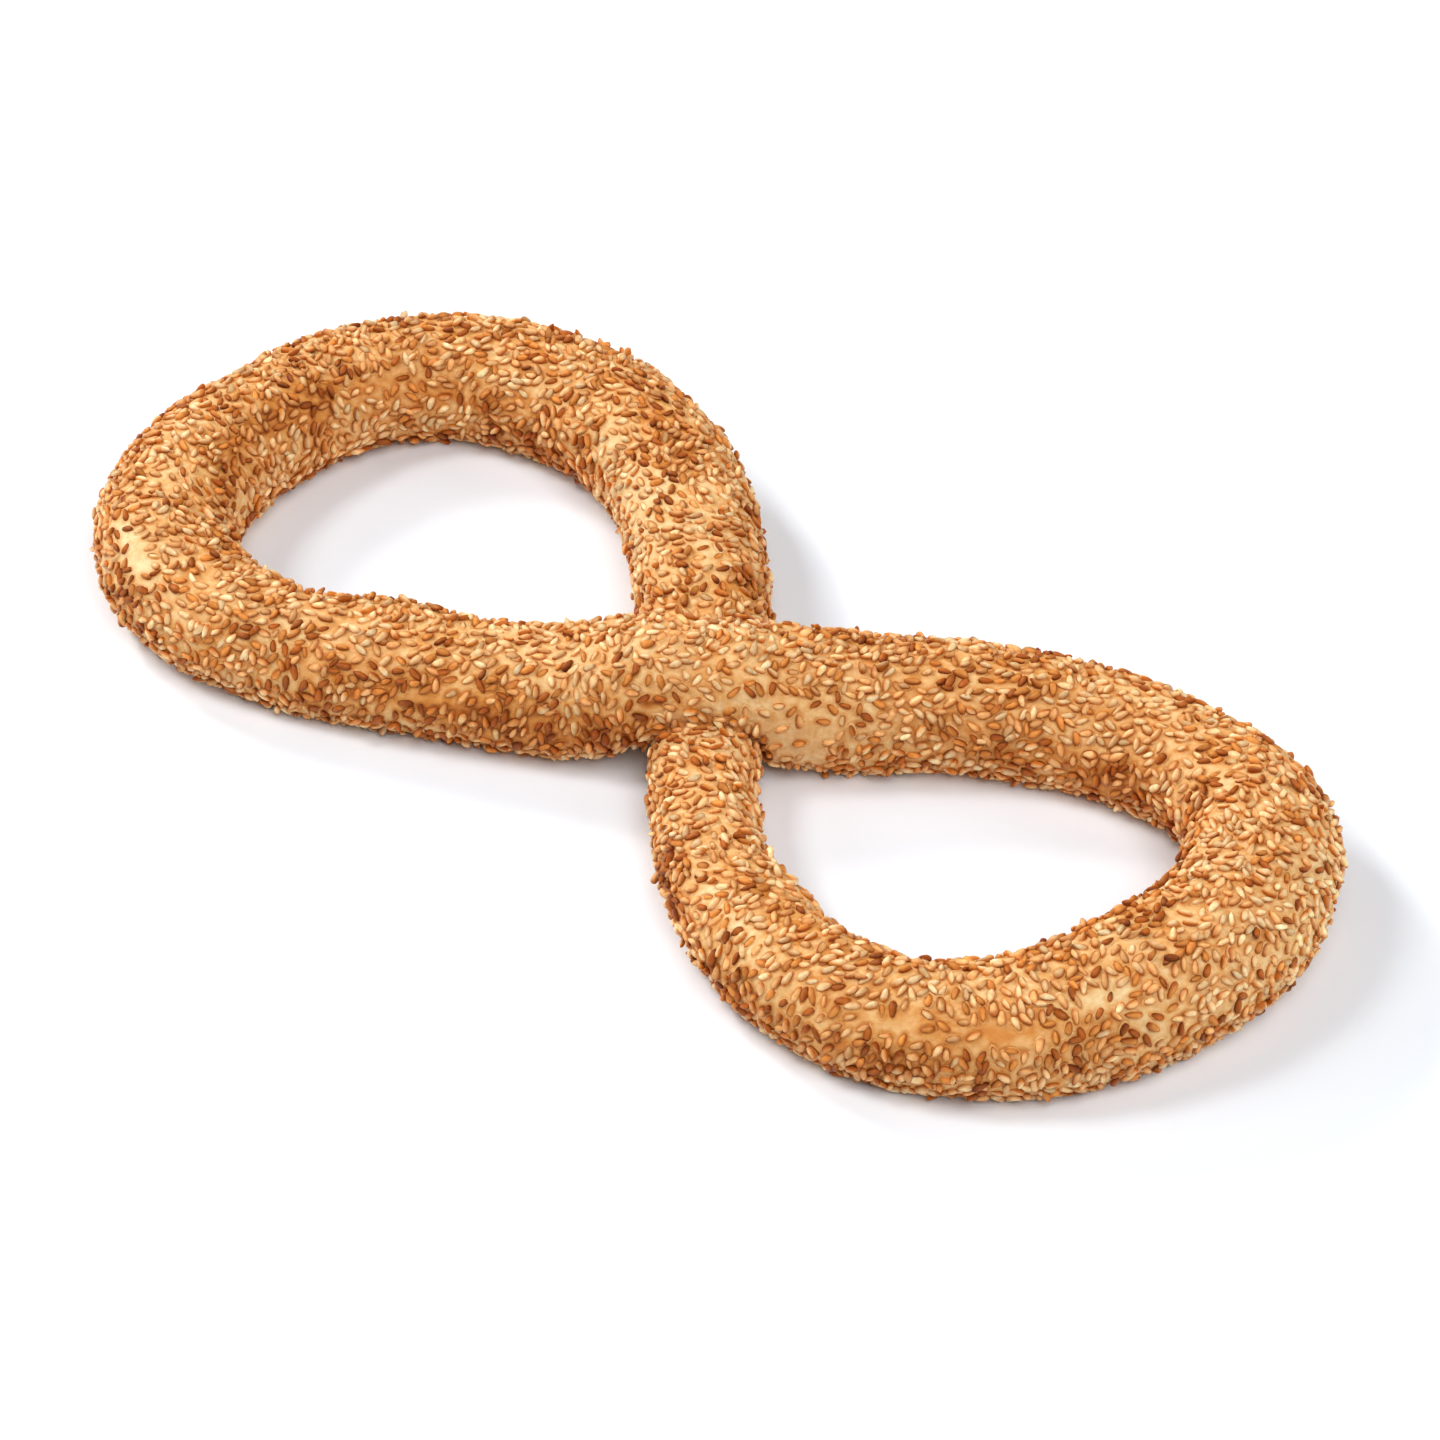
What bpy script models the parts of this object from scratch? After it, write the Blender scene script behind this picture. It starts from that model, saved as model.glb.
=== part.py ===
"""Simit: one rope of bread dough laid down as a figure of eight and baked flat.

The rope runs out of the crossing on top, round the near loop, back under itself,
round the far loop and home.  It is pressed together where it crosses, so the
bread is a single solid with two tear-shaped openings.

Units in this file: lengths in millimetres in the tables, metres in Blender.
+Z is up, +X runs along the long side, and the origin is the middle of the
footprint at table level.
"""

import math

import bmesh
import bpy
import numpy as np

MM = 0.001

# --- how the rope lies, seen from above (mm, measured from the crossing) -----
OVER_HEADING = 38.0  # degrees from +X: the upper strand, going into the near loop
UNDER_HEADING = 137.0  # degrees from +X: the lower strand, going into the far loop

# Each loop is drawn through its crest (far side), its tip and its belly (near side).
NEAR_CREST = (83.0, 50.0)
NEAR_TIP = (119.5, 13.0)
NEAR_BELLY = (73.0, -46.5)
FAR_CREST = (-83.0, 56.0)
FAR_TIP = (-134.0, 0.0)
FAR_BELLY = (-94.5, -46.0)

# How far the rope holds its heading: leaving a point, then arriving at the next.
NEAR_REACH = ((17.0, 41.0), (29.0, 8.0), (37.0, 20.0), (45.0, 9.0))
FAR_REACH = ((35.0, 37.0), (46.0, 24.0), (17.0, 31.0), (26.0, 8.0))

# --- the rope itself ---------------------------------------------------------
# Hand rolled, so never even: its width at sixteen equal steps along its length,
# starting on the upper strand at the crossing.
ROPE_WIDTHS = (
    26.0, 29.0, 27.0, 31.0, 31.5, 27.0, 25.0, 22.0,  # near loop
    27.5, 29.5, 30.0, 28.5, 29.5, 30.5, 26.5, 27.5,  # far loop
)  # fmt: skip
HEIGHT_TO_WIDTH = 0.85  # an oven-spring oval, a little wider than tall
WAIST = 0.47  # the widest level, as a share of the height
SETTLE = 1.6  # how far the round underside is pressed flat by its own weight
SIDE_FULLNESS = 0.92  # under 1 makes the sides fuller than an ellipse
TOP_FULLNESS = 0.97
FOOT_FULLNESS = 0.85

# --- the crossing ------------------------------------------------------------
OVER_LIFT = 9.5  # underside of the upper strand above the table
OVER_DROP = (14.0, 18.5)  # how fast it comes down: towards the near loop, the far loop
OVER_HEIGHT = 19.5  # the upper strand is stretched thin over the lower one
OVER_REACH = 6.5
UNDER_HEIGHT = 16.0  # the lower strand is squashed by the upper one
UNDER_REACH = 14.0
# The upper strand bulges where it comes down: how far along, how much wider, how long
SHOULDERS = ((21.0, 2.0, 11.0), (-19.0, 2.5, 11.0))
WELD_RADIUS = 13.5  # dough pressed into the four corners of the crossing
WELD_HEIGHT = 15.0
WELD_LEVEL = 11.5

# --- mesh fineness -----------------------------------------------------------
RINGS = 120
RING_POINTS = 24
ARC_STEPS = 160

CRUST_COLOUR = (0.63, 0.30, 0.115, 1.0)
CRUST_ROUGHNESS = 0.58


def heading(degrees):
    """Unit vector for a heading measured from +X."""
    angle = math.radians(degrees)
    return np.array([math.cos(angle), math.sin(angle)])


def arc(start, way_out, end, way_in, reach):
    """A smooth stretch of rope that leaves along way_out and arrives along way_in."""
    t = np.arange(ARC_STEPS)[:, None] / ARC_STEPS
    a, d = np.asarray(start, float), np.asarray(end, float)
    b, c = a + way_out * reach[0], d - way_in * reach[1]
    return (1 - t) ** 3 * a + 3 * (1 - t) ** 2 * t * b + 3 * (1 - t) * t**2 * c + t**3 * d


def loop_arcs(way_out, crest, tip, belly, way_home, side, reach):
    """Crossing, crest, tip, belly, crossing.  side is +1 for the near loop, -1 for the far."""
    along, down = np.array([side, 0.0]), np.array([0.0, -1.0])
    stops = [(0.0, 0.0), crest, tip, belly, (0.0, 0.0)]
    ways = [way_out, along, down, -along, way_home]
    return [
        arc(stops[i], ways[i], stops[i + 1], ways[i + 1], reach[i]) for i in range(4)
    ]


def rope_route():
    """The middle of the rope as a closed line, with how far along it the lower strand crosses."""
    over, under = heading(OVER_HEADING), heading(UNDER_HEADING)
    near = loop_arcs(over, NEAR_CREST, NEAR_TIP, NEAR_BELLY, under, 1.0, NEAR_REACH)
    far = loop_arcs(under, FAR_CREST, FAR_TIP, FAR_BELLY, over, -1.0, FAR_REACH)
    line = np.vstack(near + far)
    closed = np.vstack([line, line[:1]])
    gone = np.concatenate([[0.0], np.cumsum(np.hypot(*np.diff(closed, axis=0).T))])
    return closed, gone, gone[4 * ARC_STEPS]


def even_rings(closed, gone, count):
    """Points and headings at equal steps along the rope."""
    at = gone[-1] * np.arange(count) / count
    points = np.column_stack([np.interp(at, gone, closed[:, k]) for k in (0, 1)])
    ways = np.roll(points, -1, axis=0) - np.roll(points, 1, axis=0)
    return points, ways / np.hypot(*ways.T)[:, None], at


def round_the_rope(values, where):
    """Smooth closed curve through values at equal steps, read at where (0 to 1)."""
    v = np.asarray(values, float)
    n = len(v)
    band = 4 * np.eye(n) + np.roll(np.eye(n), 1, axis=0) + np.roll(np.eye(n), -1, axis=0)
    bend = np.linalg.solve(band, 6 * (np.roll(v, -1) - 2 * v + np.roll(v, 1)))
    step = where * n
    i = np.floor(step).astype(int) % n
    j = (i + 1) % n
    t = step - np.floor(step)
    straight = (1 - t) * v[i] + t * v[j]
    return straight + (((1 - t) ** 3 - (1 - t)) * bend[i] + (t**3 - t) * bend[j]) / 6


def near_to(at, centre, ahead, behind, length):
    """1 at centre, falling smoothly to 0 on both sides, counted round the closed rope."""
    away = (at - centre + 0.5 * length) % length - 0.5 * length
    return np.exp(-((away / np.where(away >= 0, ahead, behind)) ** 2))


def loaf_section(width, height, turn):
    """Across and up for one cut through the rope: domed on top, flat where it rests."""
    c, s = np.cos(turn), np.sin(turn)
    across = 0.5 * width * np.sign(c) * np.abs(c) ** SIDE_FULLNESS
    upper = WAIST * height + (1 - WAIST) * height * np.abs(s) ** TOP_FULLNESS
    lower = WAIST * height - (WAIST * height + SETTLE) * np.abs(s) ** FOOT_FULLNESS
    return across, np.maximum(np.where(s >= 0, upper, lower), 0.0)


def rope_surface():
    """Rings of points over the whole rope, in mm, as an array (rings, points, 3)."""
    closed, gone, under_at = rope_route()
    points, ways, at = even_rings(closed, gone, RINGS)
    length = gone[-1]
    width = round_the_rope(ROPE_WIDTHS, at / length)
    for shoulder_at, swell, reach in SHOULDERS:
        width = width + swell * near_to(at, shoulder_at, reach, reach, length)
    lift = OVER_LIFT * near_to(at, 0.0, OVER_DROP[0], OVER_DROP[1], length)
    over = near_to(at, 0.0, OVER_REACH, OVER_REACH, length)
    under = near_to(at, under_at, UNDER_REACH, UNDER_REACH, length)
    height = HEIGHT_TO_WIDTH * width
    height = height * (1 - over) + OVER_HEIGHT * over
    height = height * (1 - under) + UNDER_HEIGHT * under
    turn = 2 * math.pi * np.arange(RING_POINTS) / RING_POINTS
    across, up = loaf_section(width[:, None], height[:, None], turn[None, :])
    left = np.column_stack([-ways[:, 1], ways[:, 0]])
    surface = np.empty((RINGS, RING_POINTS, 3))
    surface[..., 0] = points[:, :1] + left[:, :1] * across
    surface[..., 1] = points[:, 1:] + left[:, 1:] * across
    surface[..., 2] = up + lift[:, None]
    return surface


def clear_scene():
    for obj in list(bpy.data.objects):
        bpy.data.objects.remove(obj, do_unlink=True)


def crust_material():
    material = bpy.data.materials.new("baked crust")
    material.use_nodes = True
    shader = material.node_tree.nodes["Principled BSDF"]
    shader.inputs["Base Color"].default_value = CRUST_COLOUR
    shader.inputs["Roughness"].default_value = CRUST_ROUGHNESS
    shader.inputs["Metallic"].default_value = 0.0
    return material


def object_from(name, bm):
    bmesh.ops.recalc_face_normals(bm, faces=bm.faces)
    mesh = bpy.data.meshes.new(name)
    bm.to_mesh(mesh)
    bm.free()
    mesh.shade_smooth()
    obj = bpy.data.objects.new(name, mesh)
    bpy.context.scene.collection.objects.link(obj)
    return obj


def rope_object(surface):
    """The closed rope, which still runs through itself at the crossing."""
    bm = bmesh.new()
    rings = [[bm.verts.new(point * MM) for point in ring] for ring in surface]
    for r in range(RINGS):
        here, there = rings[r], rings[(r + 1) % RINGS]
        for k in range(RING_POINTS):
            n = (k + 1) % RING_POINTS
            bm.faces.new((here[k], there[k], there[n], here[n]))
    return object_from("simit", bm)


def weld_object(centre):
    """The lens of dough that fills the inner corners where the strands are pressed together."""
    bm = bmesh.new()
    bmesh.ops.create_icosphere(bm, subdivisions=3, radius=WELD_RADIUS * MM)
    for vert in bm.verts:
        vert.co.z *= 0.5 * WELD_HEIGHT / WELD_RADIUS
    weld = object_from("crossing_weld", bm)
    weld.location = (centre[0] * MM, centre[1] * MM, WELD_LEVEL * MM)
    weld.hide_render = True
    weld.display_type = "WIRE"
    return weld


def main():
    clear_scene()
    surface = rope_surface()
    low, high = surface.min(axis=(0, 1)), surface.max(axis=(0, 1))
    middle = np.array([0.5 * (low[0] + high[0]), 0.5 * (low[1] + high[1]), 0.0])
    simit = rope_object(surface - middle)
    simit.data.materials.append(crust_material())
    weld = weld_object(-middle)
    fuse = simit.modifiers.new("fused crossing", "BOOLEAN")
    fuse.operation = "UNION"
    fuse.solver = "EXACT"
    fuse.use_self = True
    fuse.object = weld


main()
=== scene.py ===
"""The looks of the simit: a crust with real relief, and every sesame seed as its own little mesh."""

import math

import bpy
import numpy as np
from mathutils import Matrix, Vector
from mathutils.kdtree import KDTree


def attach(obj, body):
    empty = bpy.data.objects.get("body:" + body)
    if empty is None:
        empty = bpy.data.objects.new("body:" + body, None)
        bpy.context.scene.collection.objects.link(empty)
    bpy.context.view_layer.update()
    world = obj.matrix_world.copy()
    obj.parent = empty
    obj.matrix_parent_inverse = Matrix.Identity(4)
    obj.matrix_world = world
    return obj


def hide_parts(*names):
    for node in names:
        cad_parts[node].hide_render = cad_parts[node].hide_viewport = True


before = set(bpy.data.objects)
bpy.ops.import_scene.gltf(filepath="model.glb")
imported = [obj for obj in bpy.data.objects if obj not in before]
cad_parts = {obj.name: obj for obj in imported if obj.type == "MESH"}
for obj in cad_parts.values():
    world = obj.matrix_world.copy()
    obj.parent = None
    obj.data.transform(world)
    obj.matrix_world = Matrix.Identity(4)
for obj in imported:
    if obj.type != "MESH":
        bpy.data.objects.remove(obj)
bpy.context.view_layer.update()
MM = 0.001
RNG = np.random.default_rng(20)

# ----------------------------------------------------------------------------
# The rope's route, the same named sizes that the solid is built from (mm)
# ----------------------------------------------------------------------------
OVER_HEADING, UNDER_HEADING = 38.0, 137.0
NEAR_CREST, NEAR_TIP, NEAR_BELLY = (83.0, 50.0), (119.5, 13.0), (73.0, -46.5)
FAR_CREST, FAR_TIP, FAR_BELLY = (-83.0, 56.0), (-134.0, 0.0), (-94.5, -46.0)
NEAR_REACH = ((17.0, 41.0), (29.0, 8.0), (37.0, 20.0), (45.0, 9.0))
FAR_REACH = ((35.0, 37.0), (46.0, 24.0), (17.0, 31.0), (26.0, 8.0))
ROPE_WIDTHS = (
    26.0, 29.0, 27.0, 31.0, 31.5, 27.0, 25.0, 22.0,
    27.5, 29.5, 30.0, 28.5, 29.5, 30.5, 26.5, 27.5,
)  # fmt: skip
HEIGHT_TO_WIDTH, WAIST, SETTLE = 0.85, 0.47, 1.6
SIDE_FULLNESS, TOP_FULLNESS, FOOT_FULLNESS = 0.92, 0.97, 0.85
OVER_LIFT, OVER_DROP, OVER_HEIGHT, OVER_REACH = 9.5, (14.0, 18.5), 19.5, 6.5
UNDER_HEIGHT, UNDER_REACH = 16.0, 14.0
SHOULDERS = ((21.0, 2.0, 11.0), (-19.0, 2.5, 11.0))
WELD_RADIUS, WELD_HEIGHT, WELD_LEVEL = 13.5, 15.0, 11.5
ARC_STEPS = 160


def heading(degrees):
    a = math.radians(degrees)
    return np.array([math.cos(a), math.sin(a)])


def arc(start, way_out, end, way_in, reach):
    t = np.arange(ARC_STEPS)[:, None] / ARC_STEPS
    a, d = np.asarray(start, float), np.asarray(end, float)
    b, c = a + way_out * reach[0], d - way_in * reach[1]
    return (1 - t) ** 3 * a + 3 * (1 - t) ** 2 * t * b + 3 * (1 - t) * t**2 * c + t**3 * d


def loop_arcs(way_out, crest, tip, belly, way_home, side, reach):
    along, down = np.array([side, 0.0]), np.array([0.0, -1.0])
    stops = [(0.0, 0.0), crest, tip, belly, (0.0, 0.0)]
    ways = [way_out, along, down, -along, way_home]
    return [arc(stops[i], ways[i], stops[i + 1], ways[i + 1], reach[i]) for i in range(4)]


def round_the_rope(values, where):
    v = np.asarray(values, float)
    n = len(v)
    band = 4 * np.eye(n) + np.roll(np.eye(n), 1, axis=0) + np.roll(np.eye(n), -1, axis=0)
    bend = np.linalg.solve(band, 6 * (np.roll(v, -1) - 2 * v + np.roll(v, 1)))
    step = where * n
    i = np.floor(step).astype(int) % n
    j = (i + 1) % n
    t = step - np.floor(step)
    return (1 - t) * v[i] + t * v[j] + (((1 - t) ** 3 - (1 - t)) * bend[i] + (t**3 - t) * bend[j]) / 6


def near_to(at, centre, ahead, behind, length):
    away = (at - centre + 0.5 * length) % length - 0.5 * length
    return np.exp(-((away / np.where(away >= 0, ahead, behind)) ** 2))


class Rope:
    """Everything about the rope at many even steps along it."""

    def __init__(self, rings):
        over, under = heading(OVER_HEADING), heading(UNDER_HEADING)
        near = loop_arcs(over, NEAR_CREST, NEAR_TIP, NEAR_BELLY, under, 1.0, NEAR_REACH)
        far = loop_arcs(under, FAR_CREST, FAR_TIP, FAR_BELLY, over, -1.0, FAR_REACH)
        line = np.vstack(near + far)
        closed = np.vstack([line, line[:1]])
        gone = np.concatenate([[0.0], np.cumsum(np.hypot(*np.diff(closed, axis=0).T))])
        self.length = gone[-1]
        self.under_at = gone[4 * ARC_STEPS]
        self.at = self.length * np.arange(rings) / rings
        self.xy = np.column_stack([np.interp(self.at, gone, closed[:, k]) for k in (0, 1)])
        ways = np.roll(self.xy, -1, axis=0) - np.roll(self.xy, 1, axis=0)
        self.way = ways / np.hypot(*ways.T)[:, None]
        self.left = np.column_stack([-self.way[:, 1], self.way[:, 0]])
        self.width = round_the_rope(ROPE_WIDTHS, self.at / self.length)
        for shoulder_at, swell, reach in SHOULDERS:
            self.width = self.width + swell * near_to(self.at, shoulder_at, reach, reach, self.length)
        self.over = near_to(self.at, 0.0, OVER_REACH, OVER_REACH, self.length)
        self.under = near_to(self.at, self.under_at, UNDER_REACH, UNDER_REACH, self.length)
        h = HEIGHT_TO_WIDTH * self.width
        h = h * (1 - self.over) + OVER_HEIGHT * self.over
        self.height = h * (1 - self.under) + UNDER_HEIGHT * self.under
        self.lift = OVER_LIFT * near_to(self.at, 0.0, OVER_DROP[0], OVER_DROP[1], self.length)

    def surface(self, points, side_inset, top_inset, foot_inset):
        """(rings, points, 3) in mm, drawn in from the solid's skin."""
        turn = 2 * math.pi * np.arange(points) / points
        c, s = np.cos(turn)[None, :], np.sin(turn)[None, :]
        w = (self.width - 2 * side_inset)[:, None]
        h = (self.height - top_inset - foot_inset)[:, None]
        across = 0.5 * w * np.sign(c) * np.abs(c) ** SIDE_FULLNESS
        upper = WAIST * h + (1 - WAIST) * h * np.abs(s) ** TOP_FULLNESS
        lower = WAIST * h - (WAIST * h + SETTLE) * np.abs(s) ** FOOT_FULLNESS
        up = np.maximum(np.where(s >= 0, upper, lower), 0.0) + foot_inset + self.lift[:, None]
        out = np.empty((len(self.at), points, 3))
        out[..., 0] = self.xy[:, :1] + self.left[:, :1] * across
        out[..., 1] = self.xy[:, 1:] + self.left[:, 1:] * across
        out[..., 2] = up
        return out


SKIN = Rope(120).surface(24, 0.0, 0.0, 0.0)
MIDDLE = np.array([0.5 * (SKIN[..., 0].min() + SKIN[..., 0].max()), 0.5 * (SKIN[..., 1].min() + SKIN[..., 1].max()), 0.0])
ROPE = Rope(1400)
LENGTH = ROPE.length


# ----------------------------------------------------------------------------
# Small helpers
# ----------------------------------------------------------------------------
def lattice(ix, iy, iz, seed):
    h = (ix.astype(np.uint64) * np.uint64(0x9E3779B1) ^ iy.astype(np.uint64) * np.uint64(0x85EBCA77) ^ iz.astype(np.uint64) * np.uint64(0xC2B2AE3D)) + np.uint64(seed * 0x27D4EB2F)
    h ^= h >> np.uint64(15)
    h *= np.uint64(0x2C1B3C6D2C1B3C6D)
    h ^= h >> np.uint64(29)
    h *= np.uint64(0x297A2D39297A2D39)
    h ^= h >> np.uint64(32)
    return (h & np.uint64(0xFFFFFF)).astype(np.float64) / float(0xFFFFFF) * 2 - 1


def noise(points, size, seed):
    """Smooth noise from -1 to 1 with features about size mm across."""
    q = points / size + 1000.0
    i = np.floor(q).astype(np.int64)
    f = q - i
    f = f * f * f * (f * (f * 6 - 15) + 10)
    total = 0.0
    for dx in (0, 1):
        for dy in (0, 1):
            for dz in (0, 1):
                w = (f[:, 0] if dx else 1 - f[:, 0]) * (f[:, 1] if dy else 1 - f[:, 1]) * (f[:, 2] if dz else 1 - f[:, 2])
                total = total + w * lattice(i[:, 0] + dx, i[:, 1] + dy, i[:, 2] + dz, seed)
    return total


def smooth_step(a, b, x):
    t = np.clip((x - a) / (b - a), 0, 1)
    return t * t * (3 - 2 * t)


def mesh_object(name, points, faces, smooth=True):
    """points (n,3) in metres; faces is (m,k) of one size, or a list of such arrays."""
    groups = faces if isinstance(faces, list) else [faces]
    mesh = bpy.data.meshes.new(name)
    mesh.vertices.add(len(points))
    mesh.vertices.foreach_set("co", np.ascontiguousarray(points, np.float32).ravel())
    loops = np.concatenate([g.ravel() for g in groups]).astype(np.int32)
    sizes = np.concatenate([np.full(len(g), g.shape[1]) for g in groups]).astype(np.int32)
    mesh.loops.add(len(loops))
    mesh.loops.foreach_set("vertex_index", loops)
    mesh.polygons.add(len(sizes))
    starts = np.concatenate([[0], np.cumsum(sizes)[:-1]]).astype(np.int32)
    mesh.polygons.foreach_set("loop_start", starts)
    mesh.update(calc_edges=True)
    mesh.validate()
    if smooth:
        mesh.shade_smooth()
    obj = bpy.data.objects.new(name, mesh)
    bpy.context.scene.collection.objects.link(obj)
    return obj


def points_of(mesh):
    co = np.empty(len(mesh.vertices) * 3, np.float32)
    mesh.vertices.foreach_get("co", co)
    return co.reshape(-1, 3).astype(np.float64)


def normals_of(mesh):
    n = np.empty(len(mesh.vertices) * 3, np.float32)
    mesh.vertex_normals.foreach_get("vector", n)
    return n.reshape(-1, 3).astype(np.float64)


def set_float(mesh, name, values):
    a = mesh.attributes.get(name) or mesh.attributes.new(name, "FLOAT", "POINT")
    a.data.foreach_set("value", np.ascontiguousarray(values, np.float32))


def set_colour(mesh, name, rgb):
    a = mesh.color_attributes.get(name) or mesh.color_attributes.new(name, "FLOAT_COLOR", "POINT")
    rgba = np.ones((len(rgb), 4), np.float32)
    rgba[:, :3] = rgb
    a.data.foreach_set("color", rgba.ravel())


# ----------------------------------------------------------------------------
# The dough: two strands melted into one body, then given its relief
# ----------------------------------------------------------------------------
SIDE_INSET, TOP_INSET, FOOT_INSET = 1.05, 0.98, 0.40
VOXEL = 0.9


def raw_dough():
    rings, per = 1000, 96
    rope = Rope(rings)
    skin = (rope.surface(per, SIDE_INSET, TOP_INSET, FOOT_INSET) - MIDDLE) * MM
    r = np.arange(rings)[:, None]
    k = np.arange(per)[None, :]
    a, b = r * per + k, ((r + 1) % rings) * per + k
    c, d = ((r + 1) % rings) * per + (k + 1) % per, r * per + (k + 1) % per
    quads = np.stack([a, b, c, d], -1).reshape(-1, 4)
    obj = mesh_object("dough", skin.reshape(-1, 3), quads[:, ::-1])
    # the filler of the join, kept to its far side so that the near side keeps a crisp crease
    bpy.ops.mesh.primitive_uv_sphere_add(segments=48, ring_count=24, radius=(WELD_RADIUS - 3.5) * MM, location=(0, 0, 0))
    weld = bpy.context.object
    weld.scale = (1, 1, 0.5 * WELD_HEIGHT / WELD_RADIUS)
    weld.location = ((-MIDDLE[0] - 3.0) * MM, (-MIDDLE[1] + 3.3) * MM, WELD_LEVEL * MM)
    bpy.context.view_layer.update()
    weld.data.transform(weld.matrix_world)
    weld.matrix_world = Matrix.Identity(4)
    bpy.ops.object.select_all(action="DESELECT")
    obj.select_set(True)
    weld.select_set(True)
    bpy.context.view_layer.objects.active = obj
    bpy.ops.object.join()
    remesh = obj.modifiers.new("melt", "REMESH")
    remesh.mode = "VOXEL"
    remesh.voxel_size = VOXEL * MM
    remesh.adaptivity = 0.0
    soften = obj.modifiers.new("soften", "SMOOTH")
    soften.factor, soften.iterations = 0.5, 4
    graph = bpy.context.evaluated_depsgraph_get()
    done = bpy.data.meshes.new_from_object(obj.evaluated_get(graph))
    obj.modifiers.clear()
    old = obj.data
    obj.data = done
    bpy.data.meshes.remove(old)
    return obj


CENTRES = KDTree(len(ROPE.at))
ROPE_CENTRE = np.column_stack([ROPE.xy, ROPE.lift + 0.5 * ROPE.height]) - MIDDLE
for _i, _p in enumerate(ROPE_CENTRE):
    CENTRES.insert(_p, _i)
CENTRES.balance()


def rope_place(points):
    """For points in mm: step along the rope, how far along (mm), and turn round it (degrees, 90 is up)."""
    step = np.fromiter((CENTRES.find(p)[1] for p in points), np.int64, len(points))
    rel = points[:, :2] + MIDDLE[:2] - ROPE.xy[step]
    across = (rel * ROPE.left[step]).sum(1) / (0.5 * ROPE.width[step])
    h = ROPE.height[step]
    up = (points[:, 2] - ROPE.lift[step] - WAIST * h) / ((1 - WAIST) * h)
    return step, ROPE.at[step], np.degrees(np.arctan2(up, across)) % 360


def patch(at, turn, centre_at, centre_turn, half_length, half_turn):
    """1 in the middle of a soft oval patch on the rope, 0 outside it."""
    da = np.abs(at - centre_at)
    da = np.minimum(da, LENGTH - da) / half_length
    dt = np.abs((turn - centre_turn + 180) % 360 - 180) / half_turn
    return np.exp(-((da**2 + dt**2) ** 1.5) * 0.9)


# Where few seeds took hold: along (mm), turn (degrees), half length, half turn, how bare
BARE = (
    (14, 166, 16, 32, 0.93), (14, 200, 16, 18, 0.75), (2, 174, 13, 20, 0.92), (8, 132, 9, 12, 0.75), (24, 140, 8, 8, 0.45), (102, 130, 5, 7, 0.75),
    (121, 116, 9, 6, 0.85), (101, 96, 9, 8, 0.5), (52, 116, 7, 7, 0.35), (142, 66, 8, 6, 0.35), (84, 124, 6, 6, 0.4),
    (190, 54, 8, 9, 0.93), (204, 38, 11, 15, 0.85), (220, 40, 15, 18, 0.85), (255, 58, 13, 10, 0.5), (268, 46, 9, 10, 0.55),
    (188, 10, 8, 10, 0.35), (240, 18, 10, 9, 0.35), (367, 100, 7, 11, 0.75), (386, 74, 8, 9, 0.5), (372, 40, 9, 12, 0.45),
    (398, 62, 9, 10, 0.45), (390, 36, 12, 14, 0.5), (418, 42, 8, 14, 0.45), (440, 50, 6, 10, 0.3), (488, 37, 15, 13, 0.72),
    (472, 16, 11, 12, 0.55), (510, 43, 8, 8, 0.4), (573, 130, 9, 13, 0.85), (590, 124, 10, 9, 0.35), (550, 18, 12, 12, 0.5),
    (643, 162, 10, 13, 0.6), (660, 174, 8, 9, 0.5), (676, 112, 14, 16, 0.4), (688, 170, 8, 20, 0.45), (620, 152, 8, 8, 0.35),
)  # fmt: skip
# Where the crust and its seeds are browner (above 0) or paler (below 0): partly toast, partly painted shade and
# painted light
TOAST_AND_PAINTED_SHADING = (
    (668, 184, 30, 26, 0.42), (88, 178, 20, 22, 0.30), (634, 156, 24, 30, 0.14), (355, 122, 13, 26, 0.26), (408, 92, 15, 20, 0.30),
    (440, 338, 24, 22, 0.26), (457, 22, 13, 14, 0.20), (519, 46, 32, 20, 0.30), (552, 42, 15, 14, 0.12), (229, 2, 20, 18, 0.28),
    (284, 0, 14, 16, 0.26), (86, 114, 16, 20, 0.16), (258, 106, 13, 16, 0.12), (214, 46, 12, 16, 0.06), (690, 205, 10, 16, 0.4),
    (140, 18, 28, 36, -0.24), (378, 14, 38, 32, -0.26), (310, 114, 14, 20, -0.16), (160, 122, 15, 15, -0.14), (112, 76, 18, 16, -0.14),
    (655, 72, 36, 16, -0.14), (546, 94, 28, 20, -0.14), (20, 64, 32, 14, -0.10), (12, 190, 22, 26, -0.10), (32, 180, 14, 14, -0.08),
)  # fmt: skip
# Browner (above 0) or paler (below 0) marks in the dough's own skin, smaller ones
TONE = (
    (221, 42, 17, 26, 0.20), (206, 36, 9, 12, 0.18), (490, 36, 14, 14, 0.10), (472, 14, 12, 16, 0.12), (549, 18, 12, 14, 0.16),
    (645, 162, 15, 15, 0.12), (561, 125, 2.2, 4, 0.9), (190, 54, 8, 8, -0.25), (573, 131, 10, 14, -0.30), (13, 160, 16, 34, 0.03),
    (367, 99, 8, 12, -0.18), (387, 42, 26, 26, -0.14), (121, 116, 9, 6, -0.22), (675, 108, 18, 20, -0.10), (262, 52, 16, 14, -0.12),
    (686, 165, 2.0, 4, 0.7), (498, 62, 1.8, 4, 0.6),
)  # fmt: skip
# Patches whose seeds lean one way: degrees from the rope's heading, and how strictly
LEAN = (
    (30, 105, 45, 22, 8, 0.6), (110, 125, 35, 40, 12, 0.5), (245, 40, 62, 46, 88, 0.75), (393, 34, 42, 42, 48, 0.65),
    (475, 70, 40, 30, 60, 0.4), (640, 105, 50, 28, 12, 0.45), (635, 180, 50, 26, 82, 0.5), (550, 62, 40, 30, 24, 0.4),
    (40, 190, 40, 25, 80, 0.4), (305, 75, 22, 60, 70, 0.4),
)  # fmt: skip


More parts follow.
